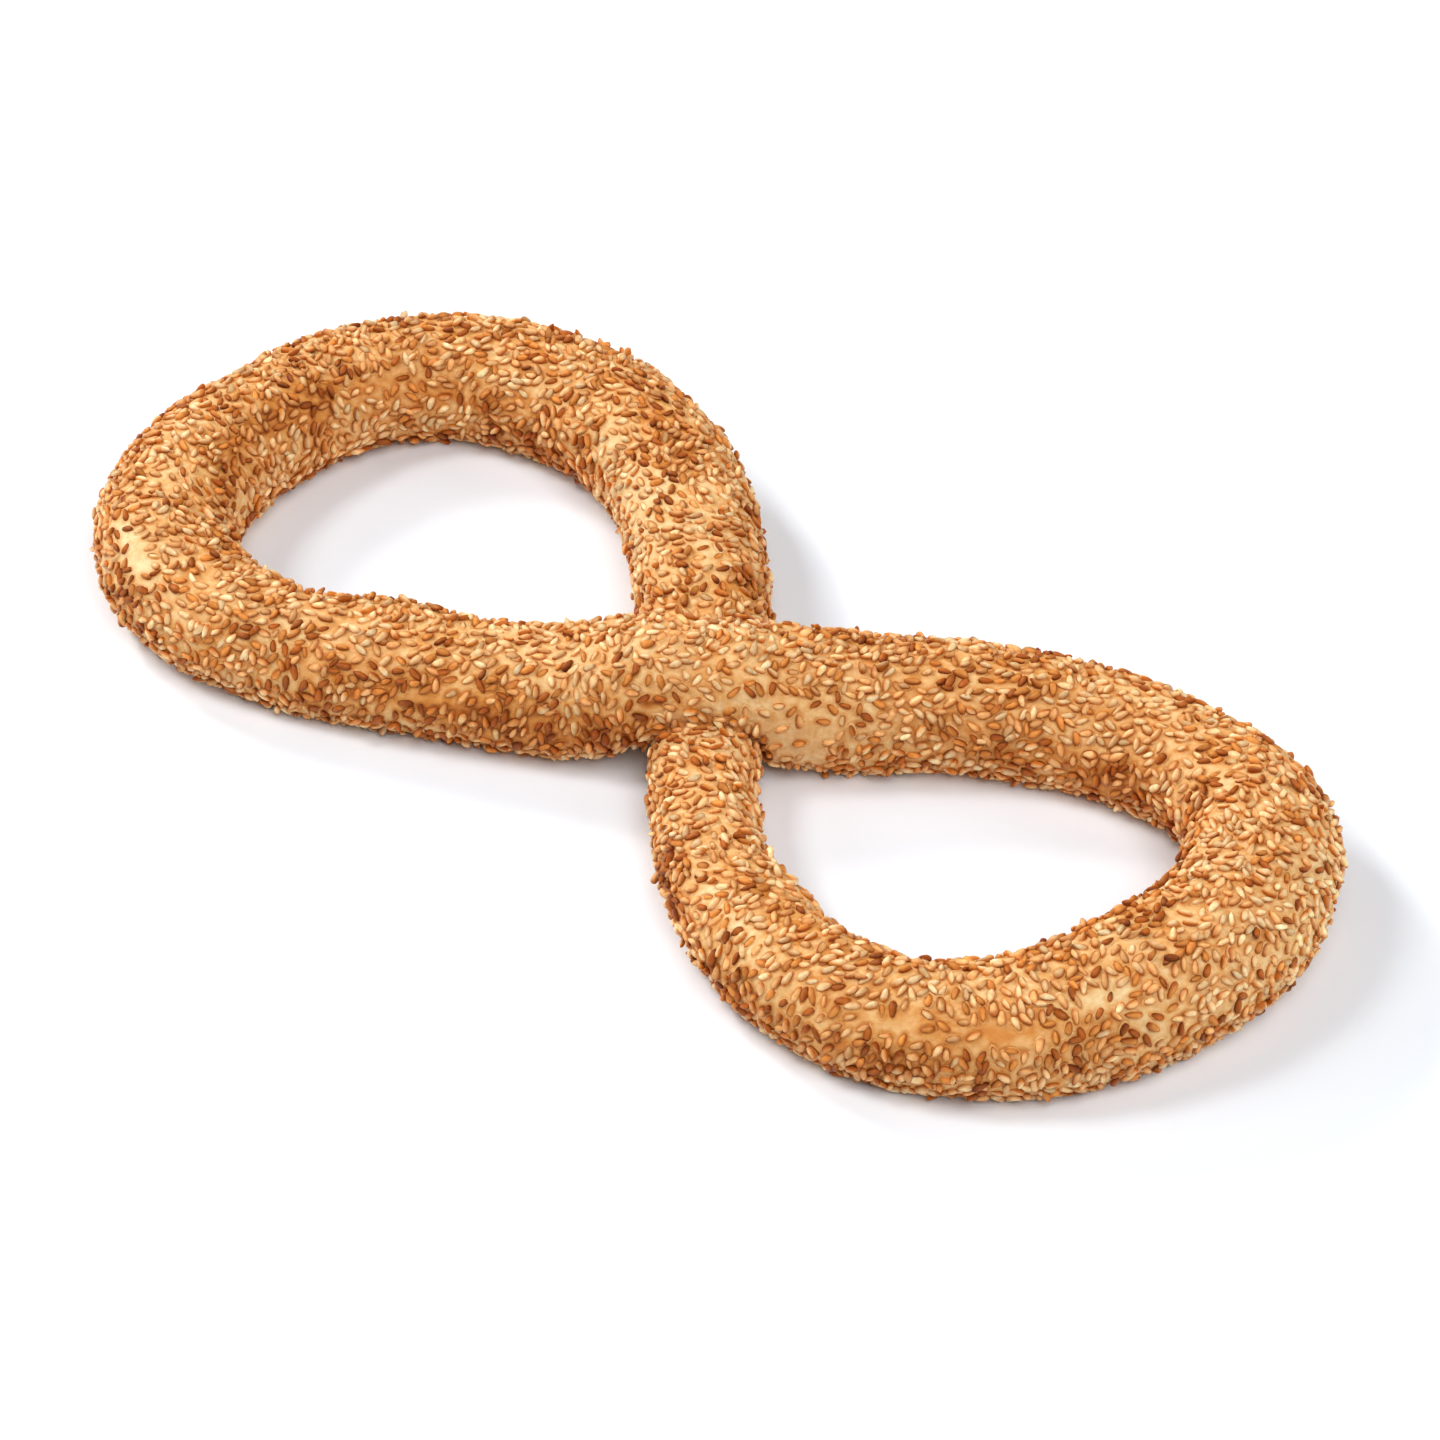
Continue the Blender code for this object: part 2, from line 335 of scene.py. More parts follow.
# Seeds that stand out on the barer places: x, y, z (mm), degrees from the rope's heading, and 0 golden to 3 dark brown
PLACED = (
    (4.0, -15.9, 28.5, 175, 0), (6.4, -10.3, 28.9, 155, 0), (12.8, -8.7, 27.9, 65, 2), (19.3, -7.2, 25.6, 15, 2), (24.1, -2.6, 24.1, 135, 1),
    (25.6, -1.3, 23.5, 135, 2), (26.7, -0.3, 23.2, 130, 1), (27.8, 0.6, 22.9, 130, 2), (28.5, 1.9, 23.1, 135, 1), (8.0, -17.2, 25.9, 170, 1),
    (9.6, -16.8, 25.0, 155, 1), (13.3, -14.1, 24.7, 170, 0), (18.4, -12.5, 20.3, 30, 2), (20.9, -10.3, 20.2, 95, 1), (23.5, -7.7, 20.1, 160, 0),
    (12.6, -16.4, 22.3, 35, 0), (27.2, -3.6, 20.2, 45, 2), (28.8, -3.2, 18.2, 95, 1), (26.6, -5.8, 16.5, 20, 1), (29.4, -3.8, 12.7, 15, 2),
    (25.3, -6.6, 11.9, 25, 1), (32.7, 2.5, 20.1, 135, 2), (32.3, 0.1, 17.8, 170, 2), (34.9, 2.9, 17.9, 80, 0), (35.3, 1.8, 14.6, 55, 1),
    (34.4, 0.7, 10.6, 120, 1), (7.1, -20.6, 22.4, 0, 3), (9.1, -19.8, 20.6, 160, 1), (26.6, -4.4, 8.2, 20, 0), (28.8, -3.2, 8.3, 60, 0),
    (29.4, -1.0, 5.3, 90, 0), (-0.0, -18.9, 27.9, 165, 1), (2.3, -22.5, 24.3, 155, 0), (3.7, -13.6, 29.3, 15, 0), (7.5, -12.8, 28.2, 5, 0),
    (19.0, -3.9, 27.0, 160, 0), (20.9, -2.2, 26.2, 130, 0), (15.7, -10.3, 26.1, 165, 0), (25.1, -5.0, 21.4, 0, 0), (120.4, -37.4, 22.2, 60, 3),
    (121.8, -39.2, 20.3, 0, 2), (124.7, -34.8, 21.1, 90, 1), (121.3, -34.6, 23.0, 105, 1), (123.3, -32.6, 22.9, 105, 1), (126.6, -36.8, 17.4, 5, 3),
    (128.2, -33.5, 18.6, 40, 2), (129.2, -31.3, 19.2, 35, 2), (129.8, -28.9, 20.3, 130, 1), (130.7, -25.4, 21.5, 10, 1), (118.8, -46.1, 16.2, 170, 2),
    (122.8, -43.1, 13.7, 75, 1), (124.1, -41.7, 13.8, 75, 2), (125.3, -40.3, 13.3, 60, 1), (113.6, -41.9, 22.6, 115, 0), (117.3, -43.1, 20.7, 115, 0),
    (118.1, -41.5, 21.2, 135, 1), (105.0, -54.0, 19.0, 15, 2), (109.6, -52.2, 18.0, 15, 1), (112.3, -49.7, 18.6, 30, 1), (104.5, -56.7, 15.9, 20, 1),
    (104.4, -57.8, 13.4, 15, 0), (94.5, -60.5, 17.0, 35, 1), (90.7, -59.1, 19.6, 20, 0), (98.7, -59.1, 16.7, 15, 1), (109.6, -49.3, 20.4, 0, 1),
    (131.0, -28.8, 18.9, 125, 2), (129.9, -33.1, 16.0, 55, 1),
)  # fmt: skip

# Where the rope is a little fuller (above 0) or slimmer than its plain section, mm
SWELL = (
    (9, 222, 10, 26, 2.0), (110, 212, 13, 26, -1.3), (129, 182, 9, 20, -0.8), (144, 165, 9, 18, -0.6), (180, 141, 13, 16, 0.9),
    (225, 132, 8, 16, -1.4), (246, 140, 9, 14, -0.5), (265, 147, 9, 14, 1.2), (285, 160, 7, 16, -0.6), (295, 170, 6, 16, 0.6),
    (592, 218, 16, 24, -1.0), (638, 222, 16, 22, -0.7), (15, 47, 12, 18, 0.8), (78, 45, 13, 18, 0.9), (106, 40, 9, 16, -0.5),
    (130, 15, 14, 18, 0.9), (163, 330, 13, 16, -0.5), (190, 318, 11, 14, 0.3), (238, 322, 13, 14, -0.4), (288, 350, 13, 16, 0.45),
    (373, 352, 9, 16, -0.4), (435, 318, 14, 14, -0.5), (500, 314, 16, 14, -0.35), (565, 5, 12, 16, -0.45), (605, 42, 9, 16, -0.4),
    (629, 47, 13, 18, 1.6), (672, 50, 13, 14, 0.7), (385, 165, 20, 18, 0.45), (415, 147, 7, 14, -0.5), (427, 140, 9, 14, 0.5),
    (495, 130, 9, 14, 0.5), (517, 132, 9, 14, -0.6), (52, 214, 34, 20, -0.3), (645, 215, 12, 14, -0.3),
)  # fmt: skip


def strand_cloud(middle, half):
    """A search tree over the skin of one stretch of rope."""
    rope = Rope(1000)
    skin = rope.surface(96, SIDE_INSET, TOP_INSET, FOOT_INSET) - MIDDLE
    gap = (rope.at - middle + 0.5 * rope.length) % rope.length - 0.5 * rope.length
    cloud = skin[np.abs(gap) < half].reshape(-1, 3)
    tree = KDTree(len(cloud))
    for i, p in enumerate(cloud):
        tree.insert(p, i)
    tree.balance()
    return tree


def crease_at(points):
    """1 along the line where one strand lies on the other, 0 away from it."""
    near = np.flatnonzero(np.hypot(*(points[:, :2] + MIDDLE[:2]).T) < 26)
    over, under = strand_cloud(0.0, 30.0), strand_cloud(ROPE.under_at, 30.0)
    gap = np.array([max(over.find(p)[2], under.find(p)[2]) for p in points[near]])
    crease = np.zeros(len(points))
    crease[near] = np.exp(-((gap / 1.15) ** 2))
    return crease


def cover_at(points, at, turn):
    """How thick the seeds lie: 1 is a full coat, 0 is bare dough."""
    bare = np.zeros(len(points))
    for a, t, ha, ht, strength in BARE:
        bare = 1 - (1 - bare) * (1 - strength * patch(at, turn, a, t, ha, ht))
    # the same loose pattern carries on over the sides that are turned away
    drift = 0.5 + 0.35 * noise(points, 14.0, 3) + 0.3 * noise(points, 6.5, 4)
    bare = 1 - (1 - bare) * (1 - 0.45 * smooth_step(0.55, 0.9, drift))
    return 1 - bare


dough = raw_dough()
P = points_of(dough.data) / MM
N = normals_of(dough.data)
STEP, AT, TURN = rope_place(P)
SOLE = smooth_step(0.9, 0.35, P[:, 2])  # 1 on the flat underside
swell = sum(amount * patch(AT, TURN, a, t, ha, ht) for a, t, ha, ht, amount in SWELL)
P = P + N * (swell * (1 - SOLE))[:, None]
CREASE = crease_at(P)
lower_side = smooth_step(6.0, -6.0, (P[:, 0] + MIDDLE[0]) * -0.67 + (P[:, 1] + MIDDLE[1]) * 0.74)
P = P - N * (CREASE * (0.4 + 1.7 * lower_side) * (1 - SOLE))[:, None]
lumps = 0.32 * noise(P, 21.0, 11) + 0.26 * noise(P, 9.0, 12) + 0.13 * noise(P, 4.0, 13) + 0.05 * noise(P, 1.9, 14)
P = P + N * (lumps * (1 - SOLE))[:, None]
P[:, 2] = np.maximum(P[:, 2], FOOT_INSET * 0.9)
dough.data.vertices.foreach_set("co", (P * MM).astype(np.float32).ravel())
dough.data.update()
N = normals_of(dough.data)

# ----------------------------------------------------------------------------
# Where the seeds lie
# ----------------------------------------------------------------------------
SEED_LENGTH, SEED_WIDTH, SEED_THICK = 3.05, 1.48, 1.46


def dough_triangles():
    dough.data.calc_loop_triangles()
    t = np.empty(len(dough.data.loop_triangles) * 3, np.int32)
    dough.data.loop_triangles.foreach_get("vertices", t)
    return t.reshape(-1, 3)


TRI = dough_triangles()


def scatter(count):
    a, b, c = P[TRI[:, 0]], P[TRI[:, 1]], P[TRI[:, 2]]
    area = np.linalg.norm(np.cross(b - a, c - a), axis=1)
    pick = RNG.choice(len(TRI), count, p=area / area.sum())
    u, v = RNG.random(count), RNG.random(count)
    flip = u + v > 1
    u[flip], v[flip] = 1 - u[flip], 1 - v[flip]
    w = 1 - u - v
    mix = lambda q: q[TRI[pick, 0]] * w[:, None] + q[TRI[pick, 1]] * u[:, None] + q[TRI[pick, 2]] * v[:, None]
    n = mix(N)
    return mix(P), n / np.linalg.norm(n, axis=1, keepdims=True)


def unit(v):
    return v / (np.linalg.norm(v, axis=-1, keepdims=True) + 1e-12)


def along_and_across(normals, step):
    """Two directions in the skin: the rope's heading, and to the left of it."""
    way = np.column_stack([ROPE.way[step], np.zeros(len(step))])
    way = unit(way - normals * (way * normals).sum(1, keepdims=True))
    return way, np.cross(normals, way)


def lie_down(points, normals, step, at, turn):
    """The way each seed points: mostly loose, with whole patches that lean one way."""
    way, side = along_and_across(normals, step)
    lean = 110 * noise(points, 15.0, 21) + 60 * noise(points, 6.0, 22) + 45
    loose = np.full(len(points), 36.0)
    for a, t, ha, ht, degrees, strict in LEAN:
        w = strict * patch(at, turn, a, t, ha, ht)
        lean = lean * (1 - w) + degrees * w
        loose = loose * (1 - 0.35 * w)
    angle = np.radians(lean + loose * RNG.standard_normal(len(points)))
    tip = way * np.cos(angle)[:, None] + side * np.sin(angle)[:, None]
    flip = RNG.random(len(points)) < 0.5
    tip[flip] *= -1
    return tip


def lay_seeds(points, normals, tips, reach, most):
    """Takes candidates in turn and keeps each that finds room.  reach is the room it needs, in seed sizes."""
    cell = 3.3
    key = np.floor(points / cell).astype(int)
    grid, kept = {}, []
    sides = np.cross(normals, tips)
    a2, b2 = SEED_LENGTH * reach, SEED_WIDTH * reach
    for i in range(len(points)):
        k = key[i]
        close = []
        for dx in (-1, 0, 1):
            for dy in (-1, 0, 1):
                for dz in (-1, 0, 1):
                    close += grid.get((k[0] + dx, k[1] + dy, k[2] + dz), ())
        if close:
            j = np.array(close)
            d = points[j] - points[i]
            mine = ((d @ tips[i]) / a2[i]) ** 2 + ((d @ sides[i]) / b2[i]) ** 2 + ((d @ normals[i]) / 2.0) ** 2
            theirs = ((d * tips[j]).sum(1) / a2[j]) ** 2 + ((d * sides[j]).sum(1) / b2[j]) ** 2 + ((d * normals[j]).sum(1) / 2.0) ** 2
            if (0.5 * (np.sqrt(mine) + np.sqrt(theirs)) < 1).any():
                continue
        kept.append(i)
        grid.setdefault(tuple(k), []).append(i)
        if len(kept) >= most:
            break
    return np.array(kept)


pts, nrm = scatter(90000)
step, at, turn = rope_place(pts)
cover = cover_at(pts, at, turn)
sole = smooth_step(0.9, 0.4, pts[:, 2])
tips = lie_down(pts, nrm, step, at, turn)
reach = np.where(cover > 0.5, 1.24 - 0.30 * cover, 2.2 - 2.22 * cover)
reach = np.clip(reach * np.exp((0.12 + 0.30 * (1 - cover)) * RNG.standard_normal(len(pts))), 0.78, 2.6)
spots = {}
for x, y, z, degrees, shade_kind in PLACED:
    spots[int(np.argmin(((pts - (x, y, z)) ** 2).sum(1)))] = (x, y, z, degrees, shade_kind)
spot = np.array(list(spots))
off = np.array([spots[i][:3] for i in spot]) - pts[spot]
pts[spot] += off - nrm[spot] * (off * nrm[spot]).sum(1, keepdims=True)
way, side_way = along_and_across(nrm[spot], step[spot])
lean = np.radians([spots[i][3] for i in spot])[:, None]
tips[spot] = way * np.cos(lean) + side_way * np.sin(lean)
reach[spot] = 0.6
kind = np.full(len(pts), -1)
kind[spot] = [spots[i][4] for i in spot]
# nothing bridges the crease where the two strands meet
pinch = crease_at(pts)
on_over = np.minimum(at, LENGTH - at) < 40
on_near_side = (pts[:, :2] + MIDDLE[:2]) @ np.array([0.67, -0.74]) > 2.0
pinched = ((pinch > 0.6) | ((pinch > 0.02) & on_over & on_near_side)) & (kind < 0)
# and hardly any where the dough lies bare
missed = (cover < 0.30) & (RNG.random(len(pts)) > 0.03)
rest = np.flatnonzero(~pinched & ~missed & (kind < 0))
queue = np.concatenate([spot, rest])
keep = queue[lay_seeds(pts[queue], nrm[queue], tips[queue], reach[queue], 10500)]
print("SEEDS first coat", len(keep))
first = dict(p=pts[keep], n=nrm[keep], t=tips[keep], cover=cover[keep], sole=sole[keep], top=np.zeros(len(keep)), kind=kind[keep])
more = RNG.permutation(len(pts))[:30000]
more = more[(cover[more] > 0.85) & (sole[more] < 0.1)]
keep2 = more[lay_seeds(pts[more], nrm[more], tips[more], np.full(len(more), 2.4), 480)]
print("SEEDS on top", len(keep2))
second = dict(p=pts[keep2], n=nrm[keep2], t=tips[keep2], cover=cover[keep2], sole=sole[keep2], top=np.ones(len(keep2)), kind=np.full(len(keep2), -1))
S = {k: np.concatenate([first[k], second[k]]) for k in first}
COUNT = len(S["p"])

BAKES = (
    (0.00, (0.87, 0.63, 0.325)),
    (0.30, (0.84, 0.51, 0.215)),
    (0.60, (0.70, 0.29, 0.062)),
    (0.85, (0.46, 0.135, 0.017)),
    (1.00, (0.26, 0.060, 0.006)),
)


def flush_at(at, turn):
    return sum(more * patch(at, turn, a, t, ha, ht) for a, t, ha, ht, more in TOAST_AND_PAINTED_SHADING)


def crust_tone(points, at, turn, sole):
    """How dark the dough's skin is coloured, 0 pale to 1 dark brown: wandering toast, a little darker where the seeds
    lie thick, darker towards the bottom and on the flat underside, the small marks, and the patches of toast and
    painted shading.
    """
    tone = 0.21 + 0.10 * noise(points, 26.0, 41) + 0.10 * noise(points, 8.0, 42) + 0.16 * noise(points, 2.6, 43)
    tone += 0.06 * smooth_step(12.0, 2.0, points[:, 2]) + 0.06 * cover_at(points, at, turn) + 0.35 * sole
    for a, t, ha, ht, more in TONE:
        tone += more * patch(at, turn, a, t, ha, ht)
    return tone + flush_at(at, turn)


def crust_colour(tone):
    xs = [b[0] for b in BAKES]
    return np.stack([np.interp(np.clip(tone, 0, 1), xs, [b[1][k] for b in BAKES]) for k in range(3)], -1)


SEED_AT, SEED_TURN = rope_place(S["p"])[1:]
S["tone"] = crust_tone(S["p"], SEED_AT, SEED_TURN, S["sole"])
S["flush"] = flush_at(SEED_AT, SEED_TURN)

# ----------------------------------------------------------------------------
# One seed: a plump drop, round at one end and pointed at the other, in a low collar of dough
# ----------------------------------------------------------------------------
RING = (-30.0, 24.0, 90.0, 156.0, 210.0, 270.0)  # a ridge along the back, two points on each flank, one under it
# how dark each ring point is: a toasted rim, and toast with painted shade underneath
RING_TOAST_AND_SHADE = (1.0, 0.42, 0.0, 0.42, 1.0, 1.0)
AROUND, STATIONS = len(RING), (-0.84, -0.42, 0.08, 0.52, 0.84)


def seed_shape():
    verts, rims = [(-1.0, 0.0, 0.0)], []
    for x in STATIONS:
        fat = math.sqrt(1 - x * x) * (1.0 - 0.34 * x) / 1.07
        for k in range(AROUND):
            c, s = math.cos(math.radians(RING[k])), math.sin(math.radians(RING[k]))
            verts.append((x, fat * math.copysign(abs(c) ** 0.9, c) if abs(c) > 1e-6 else 0.0, fat**0.8 * s))
    verts.append((1.0, 0.0, 0.0))
    quads, tris = [], []
    for r in range(len(STATIONS) - 1):
        for k in range(AROUND):
            n = (k + 1) % AROUND
            a, b = 1 + r * AROUND, 1 + (r + 1) * AROUND
            quads.append((a + k, b + k, b + n, a + n))
    last = len(verts) - 1
    for k in range(AROUND):
        n = (k + 1) % AROUND
        tris.append((0, 1 + k, 1 + n))
        e = 1 + (len(STATIONS) - 1) * AROUND
        tris.append((last, e + n, e + k))
    return np.array(verts), np.array(quads), np.array(tris)


SEED_V, SEED_Q, SEED_T = seed_shape()
COLLAR = 9


def collar_shape():
    """Two rings round the seed, as (along, across, level, toast and painted shade): close to it and high, then wider
    and sunk.
    """
    turns = 2 * math.pi * np.arange(COLLAR) / COLLAR
    inner = np.column_stack([0.93 * np.cos(turns), 0.90 * np.sin(turns), np.full(COLLAR, 1.0), np.full(COLLAR, 1.0)])
    outer = np.column_stack([1.28 * np.cos(turns), 1.52 * np.sin(turns), np.full(COLLAR, -1.0), np.full(COLLAR, 0.3)])
    k = np.arange(COLLAR)
    n = (k + 1) % COLLAR
    quads = np.stack([k, COLLAR + k, COLLAR + n, n], -1) + len(SEED_V)
    return np.vstack([inner, outer]), quads


COLLAR_V, COLLAR_Q = collar_shape()


def place_seeds(sel, tone):
    """World points (mm) of the seeds numbered in sel, and a colour for each of their points."""
    m = len(sel)
    size = np.clip(1 + 0.08 * RNG.standard_normal(m), 0.8, 1.2)
    length = 0.5 * SEED_LENGTH * size * np.clip(1 + 0.07 * RNG.standard_normal(m), 0.85, 1.15)
    width = 0.5 * SEED_WIDTH * size * np.clip(1 + 0.09 * RNG.standard_normal(m), 0.8, 1.2)
    thick = 0.5 * SEED_THICK * size * np.clip(1 + 0.15 * RNG.standard_normal(m), 0.7, 1.4)
    p, n, t = S["p"][sel], S["n"][sel], S["t"][sel]
    cover, sole, top = S["cover"][sel], S["sole"][sel], S["top"][sel]
    side = np.cross(n, t)
    pitch = np.radians((4 + 8 * cover + 8 * top) * RNG.standard_normal(m)) * (1 - sole)
    roll = np.radians((6 + 10 * cover + 6 * top) * RNG.standard_normal(m)) * (1 - sole)
    proud = (RNG.random(m) < 0.015) * (1 - sole)  # a few stand on end
    pitch = pitch + proud * np.radians(35)
    t2 = unit(t * np.cos(pitch)[:, None] + n * np.sin(pitch)[:, None])
    n2 = unit(np.cross(t2, side))
    s2 = unit(side * np.cos(roll)[:, None] + n2 * np.sin(roll)[:, None])
    n3 = np.cross(t2, s2)
    rise = 0.14 + 0.18 * cover + 0.10 * RNG.standard_normal(m) * (0.4 + cover) + 0.55 * top + 0.5 * proud
    rise -= 0.34 * (RNG.random(m) < 0.35 * (1 - cover))  # some sank under the dough's skin
    rise = np.where(sole > 0.5, -0.10, rise)
    v = SEED_V
    bend = 0.10 * RNG.standard_normal(m)
    x = v[None, :, 0] * length[:, None]
    y = (v[None, :, 1] + bend[:, None] * (v[None, :, 0] ** 2 - 0.4)) * width[:, None]
    z = v[None, :, 2] * thick[:, None]
    # each seed's points, set on the dough and turned its way
    world = (p + n * rise[:, None])[:, None, :] + x[..., None] * t2[:, None] + y[..., None] * s2[:, None] + z[..., None] * n3[:, None]
    level = np.where(COLLAR_V[None, :, 2] > 0, 0.14 + 0.05 * RNG.standard_normal((m, 1)), -0.16)
    hug = p[:, None, :] + n[:, None, :] * level[..., None]
    hug = hug + t[:, None, :] * (COLLAR_V[None, :, 0] * length[:, None])[..., None] + side[:, None, :] * (COLLAR_V[None, :, 1] * width[:, None])[..., None]
    hug = hug - (n * (sole * 0.4)[:, None])[:, None, :]
    world = np.concatenate([world, hug], 1)
    world[..., 2] = np.maximum(world[..., 2], 0.02)
    # darker at the tip and on the rim from toasting, and underneath, where the seed meets the dough, from toast and
    # painted shade
    flank = np.array([0.0] + list(RING_TOAST_AND_SHADE) * len(STATIONS) + [0.0])
    ends = 0.9 * smooth_step(0.5, 1.0, v[:, 0]) + 0.7 * smooth_step(-0.6, -1.0, v[:, 0])
    one_end = 0.28 * RNG.standard_normal(m)[:, None] * v[None, :, 0]
    one_side = 0.50 * RNG.standard_normal(m)[:, None] * v[None, :, 1]
    shade = np.clip((flank + ends)[None, :] + one_end + one_side, -0.25, 1)
    # the collar is darkest next to the seed: toast and painted shade in the groove round it
    dough_tone = S["tone"][sel][:, None] + 0.38 * COLLAR_V[None, :, 3] + 0.10 * RNG.standard_normal((m, 1))
    return world, shade, crust_colour(dough_tone)


def seed_faces(m):
    base = (np.arange(m) * (len(SEED_V) + len(COLLAR_V)))[:, None, None]
    quads = np.vstack([SEED_Q, COLLAR_Q])
    return [(quads[None] + base).reshape(-1, 4), (SEED_T[None] + base).reshape(-1, 3)]


KINDS = (
    # name, share, face colour, edge colour
    ("seeds_pale", 0.21, (0.91, 0.67, 0.36), (0.60, 0.195, 0.024)),
    ("seeds_golden", 0.27, (0.88, 0.57, 0.270), (0.51, 0.142, 0.013)),
    ("seeds_amber", 0.25, (0.84, 0.44, 0.165), (0.43, 0.104, 0.008)),
    ("seeds_tan", 0.17, (0.70, 0.270, 0.056), (0.32, 0.068, 0.005)),
    ("seeds_brown", 0.10, (0.45, 0.120, 0.015), (0.19, 0.036, 0.003)),
)
# darker kinds where the dough is bare and in the patches of toast and painted shading
mood = 0.40 * noise(S["p"], 13.0, 31) + 0.72 * noise(S["p"], 3.6, 32) + 0.36 * RNG.standard_normal(COUNT) + 0.7 * (1 - S["cover"]) + 1.2 * S["flush"]
mood = np.where(S["kind"] >= 0, np.quantile(mood, (0.34, 0.64, 0.84, 0.96))[S["kind"]], mood)
order = np.argsort(mood)
edges = np.cumsum([0] + [k[1] for k in KINDS])
edges = (edges / edges[-1] * COUNT).astype(int)


def principled(name):
    m = bpy.data.materials.new(name)
    m.use_nodes = True
    nodes, links = m.node_tree.nodes, m.node_tree.links
    return m, nodes, links, nodes["Principled BSDF"]


def two_tones(nodes, links, texture, low, high):
    """A tint that wanders between two colours with the texture."""
    span = nodes.new("ShaderNodeMapRange")
    span.inputs["From Min"].default_value = 0.32
    span.inputs["From Max"].default_value = 0.68
    links.new(texture.outputs["Fac"], span.inputs["Value"])
    tones = nodes.new("ShaderNodeMix")
    tones.data_type = "RGBA"
    tones.inputs["A"].default_value = (*low, 1.0)
    tones.inputs["B"].default_value = (*high, 1.0)
    links.new(span.outputs["Result"], tones.inputs["Factor"])
    return tones


def seed_material(name, face, edge):
    m, nodes, links, bsdf = principled(name)
    tint = nodes.new("ShaderNodeVertexColor")
    tint.layer_name = "toast_and_shade"
    grain = nodes.new("ShaderNodeTexNoise")
    grain.inputs["Scale"].default_value = 900.0
    grain.inputs["Detail"].default_value = 2.0
    coords = nodes.new("ShaderNodeTexCoord")
    links.new(coords.outputs["Object"], grain.inputs["Vector"])
    ramp = two_tones(nodes, links, grain, (0.90, 0.78, 0.64), (1.06, 1.12, 1.20))
    mix = nodes.new("ShaderNodeMix")
    mix.data_type = "RGBA"
    mix.blend_type = "MULTIPLY"
    mix.inputs["Factor"].default_value = 1.0
    links.new(tint.outputs["Color"], mix.inputs["A"])
    links.new(ramp.outputs["Result"], mix.inputs["B"])
    links.new(mix.outputs["Result"], bsdf.inputs["Base Color"])
    bump = nodes.new("ShaderNodeBump")
    bump.inputs["Strength"].default_value = 0.35
    bump.inputs["Distance"].default_value = 0.0002
    links.new(grain.outputs["Fac"], bump.inputs["Height"])
    links.new(bump.outputs["Normal"], bsdf.inputs["Normal"])
    bsdf.inputs["Roughness"].default_value = 0.42
    bsdf.inputs["Specular IOR Level"].default_value = 0.18
    bsdf.inputs["Subsurface Weight"].default_value = 0.08
    bsdf.inputs["Subsurface Radius"].default_value = (0.0012, 0.0006, 0.0003)
    bsdf.inputs["Subsurface Scale"].default_value = 1.0
    return m


for n_kind, (name, share, face, edge) in enumerate(KINDS):
    sel = np.sort(order[edges[n_kind]:edges[n_kind + 1]])
    world, shade, collar_rgb = place_seeds(sel, None)
    obj = mesh_object(name, world.reshape(-1, 3) * MM, seed_faces(len(sel)))
    vary = np.clip(1 + 0.13 * RNG.standard_normal((len(sel), 1, 1)), 0.75, 1.25)
    rgb = (np.array(face) * (1 - shade[..., None]) + np.array(edge) * shade[..., None]) * vary
    # the patches of toast and painted shading make the seeds browner or paler
    rgb = rgb * (1 - S["flush"][sel][:, None, None] * np.array([0.45, 0.75, 1.1]))
    rgb = np.concatenate([rgb, collar_rgb], 1)
    set_colour(obj.data, "toast_and_shade", np.clip(rgb.reshape(-1, 3), 0, 1))
    obj.data.materials.append(seed_material(name + "_hull", face, edge))
    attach(obj, "root")
    print("PIECE", name, len(sel), "seeds", sum(len(p.vertices) - 2 for p in obj.data.polygons[:1]) and len(sel) * (2 * len(SEED_Q) + len(SEED_T) + 2 * COLLAR), "triangles")

# ----------------------------------------------------------------------------
# The crust's marks: rims of dough round the seeds, hollows darkened by toast and painted shade, painted shade along
# the crease, darker towards the bottom
# ----------------------------------------------------------------------------
tree = KDTree(COUNT)
for _i, _p in enumerate(S["p"]):
    tree.insert(_p, _i)
tree.balance()
ring = np.full(len(P), 9.0)
SIDES = np.cross(S["n"], S["t"])
for i, q in enumerate(P):
    for _co, j, dist in tree.find_n(q, 3):
        if dist > 3.0:
            continue
        d = q - S["p"][j]
        e = math.hypot(float(d @ S["t"][j]) / (0.5 * SEED_LENGTH), float(d @ SIDES[j]) / (0.5 * SEED_WIDTH))
        if e < ring[i]:
            ring[i] = e
rim = np.exp(-((ring - 1.35) / 0.38) ** 2)
socket = np.exp(-((ring / 0.9) ** 2))
P2 = P + N * ((0.12 * rim - 0.16 * socket) * (1 - SOLE))[:, None]
P2[:, 2] = np.maximum(P2[:, 2], FOOT_INSET * 0.9)
dough.data.vertices.foreach_set("co", (P2 * MM).astype(np.float32).ravel())
dough.data.update()
